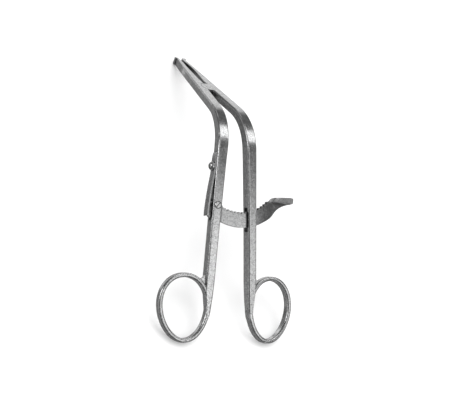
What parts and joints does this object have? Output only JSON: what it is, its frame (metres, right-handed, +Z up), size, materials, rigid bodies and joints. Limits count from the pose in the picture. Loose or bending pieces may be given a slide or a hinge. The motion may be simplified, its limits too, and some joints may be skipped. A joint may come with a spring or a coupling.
{
  "type": "lamina spreader",
  "caption": "Angled self-retaining lamina spreader with hinged ridged blades, finger rings and a sprung toothed ratchet bar between the handles.",
  "frame": {"origin": "on the surface the tool lies on, under the middle of its bounding box", "axes": "+X across the arms, towards the arm that the ratchet bar passes through; +Y along the handles towards the blade tips; +Z up, out of the front faces, with the tool lying on its back"},
  "size_m": [0.0788, 0.1732, 0.047],
  "materials": {
    "satin_steel": "satin",
    "polished_steel": "polished",
    "spring_steel": "satin"
  },
  "bodies": {
    "left_half": {"left_arm": "satin_steel", "ratchet_pivot_screw": "polished_steel", "spring_screw": "polished_steel"},
    "right_half": {"right_arm": "satin_steel", "pivot_pin": "polished_steel"},
    "ratchet": {"ratchet_bar": "satin_steel"},
    "leaf": {"leaf_spring": "spring_steel"}
  },
  "joints": [
    {"name": "arm_hinge", "type": "hinge", "parent": "left_half", "child": "right_half", "pos_m": [0.00036, 0.05099, 0.02572], "axis": [0, -0.5714, -0.8207], "range_deg": [0, 13]},
    {"name": "ratchet_release", "type": "hinge", "parent": "left_half", "child": "ratchet", "pos_m": [-0.00989, -0.02223, 0.03037], "axis": [0.0785, 0.391, -0.917], "range_deg": [0, 6], "stiffness_Nm_per_rad": 0.08, "springref_deg": -5.73},
    {"name": "leaf_flex", "type": "hinge", "parent": "left_half", "child": "leaf", "pos_m": [-0.01122, 0.00256, 0.04083], "axis": [0.0785, 0.391, -0.917], "range_deg": [0, 1.2]}
  ],
  "couplings": [
    {"joint": "leaf_flex", "follows": "ratchet_release", "ratio": 0.18}
  ]
}
